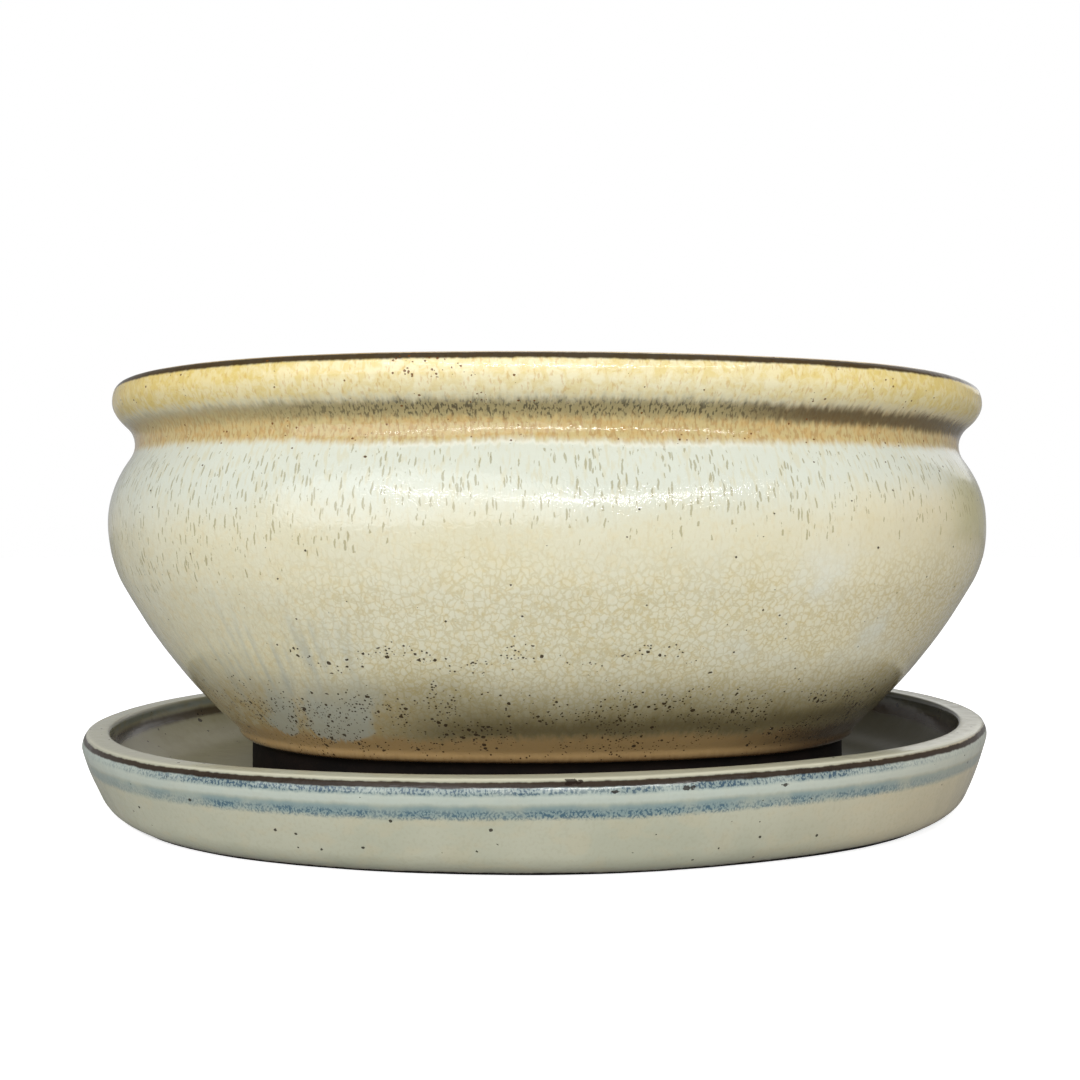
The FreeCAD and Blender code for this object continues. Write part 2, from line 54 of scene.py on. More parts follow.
# Wall sections from the middle of the underside, round the outside, to the middle of the floor:
# inset from the outline, height, and the radius of the arc to the next corner (0 is straight,
# above 0 turns left, below 0 turns right).
POT_WALL = (
    (62.0, 16.5, 0), (48.0, 16.5, 0), (48.0, 8.5, 0), (39.2, 8.5, 0), (39.2, 18.8, 0),
    (37.0, 19.8, 2.4), (35.2, 22.4, 170.0), (3.4, 64.5, 35.0), (0.0, 79.5, 31.0),
    (5.7, 97.5, -7.0), (5.2, 107.0, 10.0), (1.4, 112.2, 9.0), (1.9, 116.6, 3.0), (4.4, 118.0, 0),
    (9.6, 118.0, 2.4), (11.6, 116.0, 0), (13.6, 101.0, -30.0), (6.8, 79.5, -30.0),
    (10.6, 64.5, -90.0), (40.6, 27.5, -6.5), (46.0, 24.5, 0), (62.0, 24.5, 0),
)
TRAY_WALL = (
    (60.0, 1.5, 0), (26.5, 1.5, 0), (25.0, 0.0, 0), (11.8, 0.0, 0), (10.4, 1.2, 10.0),
    (4.9, 7.1, 75.0), (0.0, 20.6, 5.5), (0.8, 23.4, 1.5), (2.0, 24.2, 0), (6.4, 24.2, 1.5),
    (7.4, 23.2, 0), (7.4, 19.8, -17.0), (21.5, 8.5, 0), (60.0, 8.5, 0),
)
POT_CROWN_INSET = 7.0
TRAY_CROWN_INSET = 4.2
# The tray's rim rises to the right by this share of the distance, from the floor up to the rim.
TRAY_CLIMB = 0.0098
TRAY_FLOOR, TRAY_RIM = 8.5, 24.2
END_RADIUS = {"pot_body": 93.9 * MM, "drip_tray": 95.0 * MM}

# The pot's holes and foot notches, as distances from its middle and heights.
DRAIN_RADIUS, DRAIN_SPREAD = 10.0, 38.0
WIRE_HOLE_RADIUS, WIRE_HOLE_SPREAD_X, WIRE_HOLE_SPREAD_Y = 2.5, 61.0, 22.0
DRILL_LOW, DRILL_HIGH = 12.0, 28.0
NOTCH_SPREAD, NOTCH_HALF, NOTCH_NEAR, NOTCH_FAR = 30.0, 7.0, 30.0, 90.0
NOTCH_LOW, NOTCH_TOP = 4.0, 12.5

# Where the glaze ends: inset and height outside, and distance from the crown inside.
POT_GLAZE_FOOT, POT_GLAZE_INSIDE = (37.4, 19.6), 18.0
TRAY_GLAZE_FOOT, GLAZED_ALL_OVER = (10.6, 1.0), 1000.0

# Mesh spacing. An arc under the small radius has at least the small arc's pieces.
COLUMNS = 480
OUTSIDE_STEP, INSIDE_STEP = 1.15, 2.6
SMALL_RADIUS, SMALL_ARC_PIECES = 12.0, 5
SOFTEN_SIDES, SOFTEN_MIDDLE = 0.22, 0.56

# Unevenness of a wall: size across, seed and depth of each set of waves.
UNEVENNESS = ((70.0, 3, 0.16), (26.0, 4, 0.09), (9.0, 5, 0.03))
WAVES_IN_A_SET = 14
# The share of it that the inside and the bare foot have.
HIDDEN_SHARE = 0.4
# Heights up to which the pot's foot stays as it is, and above which its wall has it all.
STEADY_BELOW, UNEVEN_ABOVE = 12.0, 30.0
GLAZE_THICKNESS = 0.25

GLAZE_IOR = 1.52
GLAZE_RELIEF = 0.1 * MM
# Burnt iron marks at the front of the tray: x, distance outside the crown, and half the length.
IRON_MARKS = ((1.5, -3.6, 1.9), (10.5, -6.0, 0.8), (27.0, -5.9, 1.4), (50.0, -6.9, 0.9))

# The stage: the floor and backdrop look white to the camera, and throw this light on the pot.
FLOOR_RADIUS = 4.0
FLOOR_BOUNCE = (0.44, 0.44, 0.42, 1.0)
FLOOR_GLOW = 0.7
HORIZON_LIGHT = (0.42, 0.42, 0.42, 1.0)
OVERHEAD_LIGHT, OVERHEAD_FROM = (0.20, 0.205, 0.21, 1.0), 0.6

# Lamps. The broad ones have degrees and watts per square metre, the panels metres and watts.
BROAD_ANGLE = 60.0
SKY_POWER, SKY_HEIGHT, SKY_SIDE = 1.55, 17.0, 25.0
FILL_POWER, FILL_HEIGHT, FILL_SIDE = 0.5, 38.0, -150.0
WINDOW_X, WINDOW_Y, WINDOW_Z = 0.15, -1.5, 1.51
WINDOW_SIZE, WINDOW_POWER, WINDOW_TINT = (2.7, 1.82), 1.2, (0.95, 0.98, 1.0)
SILL_PIECES, SILL_REACH, SILL_LOW, SILL_BEND = 12, 1.3, 0.60, 0.5
SILL_THICK, SILL_POWER = 0.036, 6.6

# The camera's place, and how far it looks down and to the right, in degrees.
CAMERA_PLACE = (-22.5 * MM, -361.1 * MM, 76.9 * MM)
CAMERA_DIP, CAMERA_TURN = 0.22, 3.69
CAMERA_LENS, CAMERA_SENSOR = 40.0, 36.0
CAMERA_NEAR, CAMERA_FAR = 0.01, 50.0


def srgb(red, green, blue):
    """A colour given as seen on a screen, from 0 to 255, as linear RGBA."""
    scaled = [c / 255 for c in (red, green, blue)]
    linear = [c / 12.92 if c <= 0.04045 else ((c + 0.055) / 1.055) ** 2.4 for c in scaled]
    return (*linear, 1.0)


# ---------------------------------------------------------------------------------------------
# Geometry
# ---------------------------------------------------------------------------------------------


class Oval:
    """The four tangent arcs that fit a node's box, symmetric about both axes."""

    def __init__(self, node):
        low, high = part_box(node)
        half_length, half_width = (high.x - low.x) / 2, (high.y - low.y) / 2
        end = END_RADIUS[node]
        self.middle = (low.x + high.x) / 2
        self.radii = (
            end,
            (half_length**2 + half_width**2 - 2 * half_length * end) / (2 * (half_width - end)),
        )
        self.reach = half_length - end
        self.drop = self.radii[1] - half_width
        self.split = math.atan2(self.drop, self.reach)

    def outline(self, count):
        """Points evenly spaced round the outline, and the outward direction at each."""
        turns = (2 * self.split, math.pi - 2 * self.split)
        centres = ((self.reach, 0), (0, -self.drop), (-self.reach, 0), (0, self.drop))
        lengths = np.array([self.radii[i % 2] * turns[i % 2] for i in range(4)])
        ends = np.cumsum(lengths)
        places = np.arange(count) * ends[-1] / count
        arc = np.searchsorted(ends, places, side="right")
        first = np.cumsum([-self.split, turns[0], turns[1], turns[0]])
        radius = np.array(self.radii * 2)[arc]
        angle = first[arc] + (places - (ends - lengths)[arc]) / radius
        outward = np.stack([np.cos(angle), np.sin(angle)], 1)
        points = np.array(centres)[arc] + outward * radius[:, None]
        return points + (self.middle, 0), outward

    def project(self, xy):
        """For points in the oval: the outline point straight outwards, that direction, the inset."""
        p = xy - (self.middle, 0)
        sides = np.where(p < 0, -1.0, 1.0)
        folded = np.abs(p)
        slope = self.drop / self.reach
        in_end = folded[:, 1] + self.drop < folded[:, 0] * slope + 1e-12
        centre = np.where(in_end[:, None], (self.reach, 0.0), (0.0, -self.drop))
        radius = np.where(in_end, *self.radii)
        offset = folded - centre
        distance = np.linalg.norm(offset, axis=1)
        outward = offset / distance[:, None] * sides
        outline = centre * sides + outward * radius[:, None] + (self.middle, 0)
        return outline, outward, radius - distance


def arc_points(start, end, radius, count):
    """Points along the minor arc from start towards end, without the end."""
    start, end = np.array(start), np.array(end)
    chord = end - start
    length = np.hypot(*chord)
    left = np.array([-chord[1], chord[0]]) / length
    depth = math.sqrt(radius**2 - (length / 2) ** 2)
    centre = (start + end) / 2 + left * math.copysign(depth, radius)
    first = math.atan2(*(start - centre)[::-1])
    sweep = 2 * math.asin(length / 2 / abs(radius)) * math.copysign(1, radius)
    angles = first + sweep * np.arange(count) / count
    return centre + abs(radius) * np.stack([np.cos(angles), np.sin(angles)], 1)


def section(corners, crown_inset):
    """A wall section cut into short pieces, and the distance of each point from the crown.

    Rows of (inset, height), both in metres. The distance is below 0 on the outside.
    """
    rows, crown = [], None
    top = max(height for _, height, _ in corners)
    for (inset, height, radius), (next_inset, next_height, _) in zip(corners, corners[1:]):
        start, end = (-inset, height), (-next_inset, next_height)
        length = math.dist(start, end)
        on_crown = height == top and next_height == top
        step = OUTSIDE_STEP if crown is None else INSIDE_STEP
        if radius and abs(radius) < SMALL_RADIUS:
            count = max(SMALL_ARC_PIECES, round(length / OUTSIDE_STEP))
        else:
            count = max(1, round(length / step))
        if radius:
            rows.extend(arc_points(start, end, radius, count))
        else:
            rows.extend(np.linspace(start, end, count, endpoint=False))
        crown = len(rows) if on_crown else crown
    rows.append((-corners[-1][0], corners[-1][1]))
    points = soften(np.array(rows))
    travelled = np.concatenate([[0], np.cumsum(np.hypot(*np.diff(points, axis=0).T))])
    on_top = points[:, 1] > top - 0.5
    nearest = np.argmin(np.where(on_top, np.abs(points[:, 0] + crown_inset), np.inf))
    return points * (-MM, MM), travelled - travelled[nearest]


def soften(points):
    """Rounds every corner a little, as glaze and wear do, and leaves the two ends alone."""
    smooth = points.copy()
    smooth[1:-1] = points[:-2] * SOFTEN_SIDES + points[1:-1] * SOFTEN_MIDDLE + points[2:] * SOFTEN_SIDES
    return smooth


def wall_mesh(name, oval, rows):
    """A section carried round the oval, closed by a flat face on each end of it."""
    outline, outward = oval.outline(COLUMNS)
    flat = outline[:, None, :] - outward[:, None, :] * rows[None, :, 0, None]
    height = np.broadcast_to(rows[None, :, 1, None], (COLUMNS, len(rows), 1))
    points = np.concatenate([flat, height], 2).reshape(-1, 3)
    count = len(rows)
    column, row = np.meshgrid(np.arange(COLUMNS), np.arange(count - 1), indexing="ij")
    here, beside = column * count + row, (column + 1) % COLUMNS * count + row
    quads = np.stack([here, beside, beside + 1, here + 1], 2).reshape(-1, 4)
    under = (np.arange(COLUMNS) * count)[::-1]
    over = np.arange(COLUMNS) * count + count - 1
    mesh = bpy.data.meshes.new(name)
    mesh.from_pydata(points.tolist(), [], quads.tolist() + [under.tolist(), over.tolist()])
    return mesh


def new_piece(name, mesh):
    piece = bpy.data.objects.new(name, mesh)
    bpy.context.scene.collection.objects.link(piece)
    return piece


def cutter(build):
    """A closed helper mesh made by build(bm), to be cut out of a piece."""
    bm = bmesh.new()
    build(bm)
    mesh = bpy.data.meshes.new("cutter")
    bm.to_mesh(mesh)
    bm.free()
    return new_piece("cutter", mesh)


def cut_out(piece, cutters):
    """Takes the cutters out of the piece, and deletes them."""
    for tool in cutters:
        modifier = piece.modifiers.new("cut", "BOOLEAN")
        modifier.operation = "DIFFERENCE"
        modifier.solver = "MANIFOLD"
        modifier.object = tool
    evaluated = piece.evaluated_get(bpy.context.evaluated_depsgraph_get())
    mesh = bpy.data.meshes.new_from_object(evaluated)
    piece.modifiers.clear()
    piece.data = mesh
    for tool in cutters:
        bpy.data.objects.remove(tool)


def upright_round(x, y, radius, low, high, segments):
    """A round cutter standing at (x, y) between two heights."""

    def build(bm):
        made = bmesh.ops.create_cone(
            bm, cap_ends=True, segments=segments, radius1=radius, radius2=radius, depth=high - low
        )
        bmesh.ops.translate(bm, vec=(x, y, (low + high) / 2), verts=made["verts"])

    return cutter(build)


def block(low, high):
    """A box-shaped cutter between two corners."""

    def build(bm):
        made = bmesh.ops.create_cube(bm, size=1)
        size = [b - a for a, b in zip(low, high)]
        bmesh.ops.scale(bm, vec=size, verts=made["verts"])
        bmesh.ops.translate(bm, vec=[(a + b) / 2 for a, b in zip(low, high)], verts=made["verts"])

    return cutter(build)


def waves(points, size, seed):
    """Smooth random heights, mostly from -1 to 1, with bumps about size across."""
    random = np.random.default_rng(seed)
    direction = random.normal(size=(WAVES_IN_A_SET, 3))
    direction /= np.linalg.norm(direction, axis=1)[:, None]
    pace = 2 * math.pi / size * random.uniform(0.6, 1.4, WAVES_IN_A_SET)
    phase = random.uniform(0, 2 * math.pi, WAVES_IN_A_SET)
    heights = np.sin(points @ (direction * pace[:, None]).T + phase)
    return heights.sum(1) / math.sqrt(WAVES_IN_A_SET)


def smooth_step(value, low, high):
    t = np.clip((value - low) / (high - low), 0, 1)
    return t * t * (3 - 2 * t)


def coordinates(mesh):
    points = np.empty(len(mesh.vertices) * 3)
    mesh.vertices.foreach_get("co", points)
    return points.reshape(-1, 3)


def nearest_run(inset, height, rows, run):
    """For each point, the distance from the crown of the nearest point of the section."""
    found = np.empty(len(inset))
    for start in range(0, len(inset), 8192):
        part = slice(start, start + 8192)
        gap = (inset[part, None] - rows[:, 0]) ** 2 + (height[part, None] - rows[:, 1]) ** 2
        found[part] = run[np.argmin(gap, axis=1)]
    return found


def store(mesh, name, kind, values):
    attribute = mesh.attributes.new(name, kind, "POINT")
    key = "vector" if kind == "FLOAT_VECTOR" else "value"
    attribute.data.foreach_set(key, np.ascontiguousarray(values, dtype=np.float32).ravel())


def run_at(rows, run, inset, height):
    """The distance from the crown of the section's point nearest to a place in millimetres."""
    return run[np.argmin(np.hypot(rows[:, 0] / MM - inset, rows[:, 1] / MM - height))]


def wall_shift(points, outer, glaze):
    """How far each point of a wall moves out of the clay, in millimetres.

    The wall is uneven, less so inside and on the bare foot, and bare clay lies lower than glaze.
    """
    wave = sum(waves(points, size * MM, seed) * depth for size, seed, depth in UNEVENNESS)
    bare = 1 - smooth_step(glaze, -0.6, 0.9)
    return np.where(outer & (glaze > -2), wave, wave * HIDDEN_SHARE) - bare * GLAZE_THICKNESS


def finish_ceramic(piece, oval, rows, run, foot_edge, inner_edge, warp=None):
    """Stores what the glaze follows, then gives the wall its glaze thickness and unevenness.

    flow holds the outline point and the distance from the crown, in millimetres, and glaze holds
    how far a point lies inside the glazed stretch between the two edges, in millimetres. A piece
    with no warp keeps its foot as it is, so that it stands level.
    """
    mesh = piece.data
    points = coordinates(mesh)
    outline, outward, inset = oval.project(points[:, :2])
    along = nearest_run(inset, points[:, 2], rows, run)
    glaze = np.minimum(along - foot_edge, inner_edge - along)
    store(mesh, "flow", "FLOAT_VECTOR", np.column_stack([outline / MM, along]))
    store(mesh, "glaze", "FLOAT", glaze)
    outer = along < 0
    shift = wall_shift(points, outer, glaze)
    upright = smooth_step(points[:, 2] / MM, STEADY_BELOW, UNEVEN_ABOVE) if warp is None else 1.0
    sideways = np.where(outer, 1.0, -1.0) * shift * upright * MM
    points[:, :2] += outward * sideways[:, None]
    if warp is not None:
        points[:, 2] += warp(points)
    mesh.vertices.foreach_set("co", points.ravel())
    mesh.polygons.foreach_set("use_smooth", np.ones(len(mesh.polygons), bool))
    mesh.set_sharp_from_angle(angle=math.radians(45))
    mesh.update()


def pot_cutters(middle):
    """Cutters for the drain holes, the wire holes, and the two notches at the back of the foot."""
    low, high = DRILL_LOW * MM, DRILL_HIGH * MM
    tools = []
    for side in (-1, 1):
        x = middle + side * DRAIN_SPREAD * MM
        tools.append(upright_round(x, 0, DRAIN_RADIUS * MM, low, high, 96))
    for side in (-1, 1):
        x = middle + side * WIRE_HOLE_SPREAD_X * MM
        for depth in (-1, 1):
            y = depth * WIRE_HOLE_SPREAD_Y * MM
            tools.append(upright_round(x, y, WIRE_HOLE_RADIUS * MM, low, high, 32))
    for side in (-1, 1):
        x = middle + side * NOTCH_SPREAD * MM
        near = (x - NOTCH_HALF * MM, NOTCH_NEAR * MM, NOTCH_LOW * MM)
        far = (x + NOTCH_HALF * MM, NOTCH_FAR * MM, NOTCH_TOP * MM)
        tools.append(block(near, far))
    return tools


def make_pot():
    """The pot, with its drain holes, wire holes and foot notches."""
    oval = Oval("pot_body")
    rows, run = section(POT_WALL, POT_CROWN_INSET)
    piece = new_piece("glazed_pot", wall_mesh("glazed_pot", oval, rows))
    cut_out(piece, pot_cutters(oval.middle))
    foot = run_at(rows, run, *POT_GLAZE_FOOT)
    finish_ceramic(piece, oval, rows, run, foot, POT_GLAZE_INSIDE)
    return piece


def tray_warp(points):
    """How far each point of the tray is lifted: its rim climbs to the right, its floor is level."""
    climb = smooth_step(points[:, 2] / MM, TRAY_FLOOR, TRAY_RIM)
    return TRAY_CLIMB * points[:, 0] * climb


def make_tray():
    """The drip tray, glazed all over but for its base."""
    oval = Oval("drip_tray")
    rows, run = section(TRAY_WALL, TRAY_CROWN_INSET)
    piece = new_piece("glazed_tray", wall_mesh("glazed_tray", oval, rows))
    foot = run_at(rows, run, *TRAY_GLAZE_FOOT)
    finish_ceramic(piece, oval, rows, run, foot, GLAZED_ALL_OVER, tray_warp)
    return piece


# ---------------------------------------------------------------------------------------------
# Materials
# ---------------------------------------------------------------------------------------------


class Nodes:
    """Short calls for making one material's nodes."""

    def __init__(self, name):
        self.material = bpy.data.materials.new(name)
        self.material.use_nodes = True
        self.tree = self.material.node_tree
        self.tree.nodes.clear()
        self.shader = self.make("ShaderNodeBsdfPrincipled")
        output = self.make("ShaderNodeOutputMaterial")
        self.tree.links.new(self.shader.outputs["BSDF"], output.inputs["Surface"])

    def make(self, kind, **settings):
        node = self.tree.nodes.new(kind)
        for key, value in settings.items():
            setattr(node, key, value)
        return node

    def plug(self, socket, value):
        if isinstance(value, bpy.types.NodeSocket):
            self.tree.links.new(value, socket)
        else:
            socket.default_value = value

    def math(self, operation, first, second=0.0, third=0.0):
        node = self.make("ShaderNodeMath", operation=operation)
        for socket, value in zip(node.inputs, (first, second, third)):
            self.plug(socket, value)
        return node.outputs[0]

    def step(self, value, low, high, bottom=0.0, top=1.0):
        """A smooth step from bottom to top as value goes from low to high."""
        if low > high:
            low, high, bottom, top = high, low, top, bottom
        node = self.make("ShaderNodeMapRange", interpolation_type="SMOOTHSTEP")
        for key, item in zip(range(5), (value, low, high, bottom, top)):
            self.plug(node.inputs[key], item)
        return node.outputs[0]

    def band(self, value, low, high, soft):
        """1 between low and high, 0 outside, with soft edges."""
        rise = self.step(value, low - soft, low + soft)
        return self.math("MULTIPLY", rise, self.step(value, high - soft, high + soft, 1.0, 0.0))

    def both(self, *values):
        product = values[0]
        for value in values[1:]:
            product = self.math("MULTIPLY", product, value)
        return product

    def add(self, *values):
        total = values[0]
        for value in values[1:]:
            total = self.math("ADD", total, value)
        return total

    def scaled(self, vector, scale):
        node = self.make("ShaderNodeVectorMath", operation="MULTIPLY")
        self.plug(node.inputs[0], vector)
        node.inputs[1].default_value = scale
        return node.outputs[0]

    def noise(self, vector, size, stretch=1.0, detail=2.0, roughness=0.5, distortion=0.0, seed=0):
        """Noise with blobs about size millimetres across, and stretch times that along the flow."""
        scale = 1.0 / size
        moved = self.make("ShaderNodeMapping")
        self.plug(moved.inputs["Vector"], vector)
        moved.inputs["Scale"].default_value = (scale, scale, scale / stretch)
        moved.inputs["Location"].default_value = (seed * 7.3, seed * 3.1, seed * 5.7)
        node = self.make("ShaderNodeTexNoise")
        self.plug(node.inputs["Vector"], moved.outputs[0])
        node.inputs["Scale"].default_value = 1.0
        node.inputs["Detail"].default_value = detail
        node.inputs["Roughness"].default_value = roughness
        node.inputs["Distortion"].default_value = distortion
        return node.outputs[0]

    def cells(self, vector, size, stretch, feature="F1", seed=0):
        """Distance from the middle of the nearest cell, or from its edge, and the cell's colour."""
        scale = 1.0 / size
        moved = self.make("ShaderNodeMapping")
        self.plug(moved.inputs["Vector"], vector)
        moved.inputs["Scale"].default_value = (scale, scale, scale / stretch)
        moved.inputs["Location"].default_value = (seed * 9.1, seed * 4.3, seed * 2.9)
        node = self.make("ShaderNodeTexVoronoi", feature=feature)
        self.plug(node.inputs["Vector"], moved.outputs[0])
        node.inputs["Scale"].default_value = 1.0
        return node.outputs["Distance"], node.outputs.get("Color")

    def wobble(self, vector, size, amount, seed):
        """The vector moved about by up to amount, in bends about size across."""
        moved = self.scaled(vector, (1.0 / size, 1.0 / size, 1.0 / size))
        noise = self.make("ShaderNodeTexNoise", noise_dimensions="4D")
        self.plug(noise.inputs["Vector"], moved)
        noise.inputs["W"].default_value = seed
        noise.inputs["Scale"].default_value = 1.0
        node = self.make("ShaderNodeVectorMath", operation="MULTIPLY_ADD")
        self.plug(node.inputs[0], noise.outputs["Color"])
        node.inputs[1].default_value = (amount, amount, amount)
        self.plug(node.inputs[2], vector)
        return node.outputs[0]

    def blend(self, share, under, over):
        """The colour over laid on the colour under, as thickly as share says."""
        node = self.make("ShaderNodeMix", data_type="RGBA", clamp_factor=True)
        self.plug(node.inputs["Factor"], share)
        self.plug(node.inputs[6], under)
        self.plug(node.inputs[7], over)
        return node.outputs[2]

    def split(self, vector):
        node = self.make("ShaderNodeSeparateXYZ")
        self.plug(node.inputs[0], vector)
        return node.outputs

    def place(self):
        """The point in millimetres, fixed to the piece."""
        texture = self.make("ShaderNodeTexCoord")
        return self.scaled(texture.outputs["Object"], (1 / MM, 1 / MM, 1 / MM))

    def attribute(self, name, output):
        node = self.make("ShaderNodeAttribute", attribute_name=name)
        return node.outputs[output]

    def bump(self, height, depth):
        """A normal from a height, depth metres deep."""
        node = self.make("ShaderNodeBump")
        node.inputs["Strength"].default_value = 1.0
        node.inputs["Distance"].default_value = depth
        self.plug(node.inputs["Height"], height)
        return node.outputs[0]

    def finish(self, colour, roughness, normal, ior=1.5, specular=None):
        """Plugs the finished layers into the shader, and gives the material."""
        self.plug(self.shader.inputs["Base Color"], colour)
        self.plug(self.shader.inputs["Roughness"], roughness)
        self.plug(self.shader.inputs["Normal"], normal)
        self.shader.inputs["IOR"].default_value = ior
        if specular is not None:
            self.plug(self.shader.inputs["Specular IOR Level"], specular)
        return self.material


def specks(n, flow, size, low, high, amount, seed, stretch=0.9):
    """Small marks of low to high cell sizes across, in the share of cells that amount says."""
    distance, colour = n.cells(flow, size, stretch, seed=seed)
    red, green, _ = n.split(colour)
    reach = n.step(red, 0.0, 1.0, low, high)
    ragged = n.math("MULTIPLY_ADD", n.noise(flow, size * 0.35, seed=seed + 1), 0.3, -0.15)
    inside = n.math("LESS_THAN", n.add(distance, ragged), reach)
    return n.both(inside, n.math("LESS_THAN", green, amount))


def centred(n, *sizes, **settings):
    """Noise about 0."""
    return n.math("SUBTRACT", n.noise(*sizes, **settings), 0.5)


def clay_with_painted_shade(n, place, inside):
    """Bare dark brown stoneware with black grit, painted near black outside as shade, paler where
    inside is 1.
    """
    tone = n.noise(place, 9.0, detail=4, seed=2)
    # Near black: the clay's dark brown deepened with painted shade.
    colour = n.blend(n.step(tone, 0.35, 0.65), srgb(13, 10, 9), srgb(24, 17, 14))
    colour = n.blend(n.both(inside, 0.8), colour, srgb(84, 65, 52))
    grit = n.noise(place, 0.7, detail=2, seed=3)
    return n.blend(n.step(grit, 0.58, 0.7, 0.0, 0.65), colour, srgb(26, 19, 16))


class PotPlaces:
    """Where a point of the pot is, and the slow and fine unevenness that its layers share."""

    def __init__(self, n):
        self.place, self.flow = n.place(), n.attribute("flow", "Vector")
        self.x, self.y, self.z = n.split(self.place)
        self.run = n.split(self.flow)[2]
        self.right, self.left = n.step(self.x, 20.0, 118.0), n.step(self.x, -20.0, -118.0)
        self.ends = n.math("MAXIMUM", self.right, self.left)
        self.front = n.step(self.y, 40.0, -40.0)
        self.broad = centred(n, self.place, 24.0, seed=1)
        self.ragged = centred(n, self.flow, 1.3, 3.2, detail=3, seed=2)
        self.fleck = n.noise(self.flow, 0.7, 2.6, seed=4)
        self.mottle = n.noise(self.flow, 2.4, 1.1, detail=4, roughness=0.6, distortion=0.6, seed=8)

    def uneven(self, n, broad, ragged):
        """The height, moved up and down by the unevenness."""
        slow = n.math("MULTIPLY", self.broad, broad)
        fine = n.math("MULTIPLY", self.ragged, ragged)
        return n.add(self.z, slow, fine)

    def edge(self, n):
        """How far above the ragged upper edge of the white glaze the point is."""
        lifted = n.both(self.ends, -1.4)
        return n.math("SUBTRACT", n.add(self.uneven(n, 3.0, 2.6), lifted), 98.2)


def belly_layer(n, at):
    """Cream, with brownish flecks high up and a fine net of ochre round paler cells low down.

    Also gives how far each point is inside a cell of the net, from 0 on a line of it to 1.
    """
    cream = n.blend(n.step(at.broad, -0.12, 0.12), srgb(226, 221, 192), srgb(229, 226, 202))
    cream = n.blend(n.both(at.right, 0.6), cream, srgb(234, 214, 172))
    cream = n.blend(n.both(n.step(at.mottle, 0.48, 0.66), 0.3), cream, srgb(226, 206, 152))
    cream = n.blend(n.both(n.step(at.fleck, 0.54, 0.68), 0.3), cream, srgb(204, 184, 134))
    cream = n.blend(n.both(n.band(at.z, 66.0, 86.0, 6.0), 0.4), cream, srgb(208, 203, 175))
    bent = n.wobble(at.flow, 1.8, 2.8, seed=5)
    distance, _ = n.cells(bent, 1.8, 1.1, "DISTANCE_TO_EDGE", seed=6)
    cell = n.step(n.add(distance, n.math("MULTIPLY", at.ragged, 0.16)), 0.0, 0.2)
    low_down = n.step(at.uneven(n, 12.0, 2.0), 80.0, 60.0)
    netted = n.both(low_down, n.step(at.x, -80.0, -35.0, 0.25, 1.0))
    cloudy = n.both(n.step(at.mottle, 0.42, 0.6), netted)
    colour = n.blend(n.both(cloudy, 0.22), cream, srgb(226, 210, 158))
    colour = n.blend(n.both(n.math("SUBTRACT", 1.0, cell), netted, 0.38), colour, srgb(202, 184, 124))
    colour = n.blend(n.both(cell, netted, 0.45), colour, srgb(240, 236, 212))
    across, upwards = n.band(at.x, 40.0, 98.0, 14.0), n.band(at.z, 48.0, 72.0, 8.0)
    haze = n.both(n.step(at.broad, -0.02, 0.14), across, upwards)
    return n.blend(n.both(haze, 0.55), colour, srgb(226, 230, 222)), cell


def shoulder_layer(n, at, colour):
    """Bluish white glaze, streaked, that starts in a pale edge of painted highlight. Also gives how
    thick it is.
    """
    lower = n.add(at.uneven(n, 7.0, 4.0), n.both(at.right, -6.0))
    white = n.both(n.step(lower, 76.0, 90.0), n.step(at.edge(n), 1.6, -1.0))
    colour = n.blend(n.both(white, 0.85), colour, srgb(212, 217, 205))
    haze = n.noise(at.flow, 1.1, 4.0, seed=3)
    colour = n.blend(n.both(n.step(haze, 0.5, 0.66), white, 0.35), colour, srgb(208, 198, 158))
    level = n.band(at.uneven(n, 12.0, 3.0), 76.0, 93.0, 5.0)
    olive = n.both(n.step(at.x, 92.0, 112.0), level, at.front)
    colour = n.blend(n.both(olive, 0.75), colour, srgb(176, 168, 108))
    bent = n.wobble(at.flow, 3.0, 1.4, seed=7)
    spread = n.step(n.add(at.uneven(n, 12.0, 0.0), n.both(at.left, 18.0)), 74.0, 86.0)
    amount = n.both(spread, n.step(at.z, 97.8, 95.0))
    dashes = specks(n, bent, 0.8, 0.1, 0.36, amount, 7, stretch=6.0)
    colour = n.blend(n.both(dashes, 0.52), colour, srgb(138, 126, 72))
    # Painted highlight: a pale ragged line along the top of the white glaze, fading towards the ends.
    roll = n.both(n.band(at.edge(n), -1.1, -0.3, 0.4), n.step(at.ends, 0.35, 0.0), 0.35)
    thick = n.both(n.step(at.z, 70.0, 92.0), n.step(at.edge(n), 1.0, -0.4))
    return n.blend(roll, colour, srgb(246, 244, 232)), thick


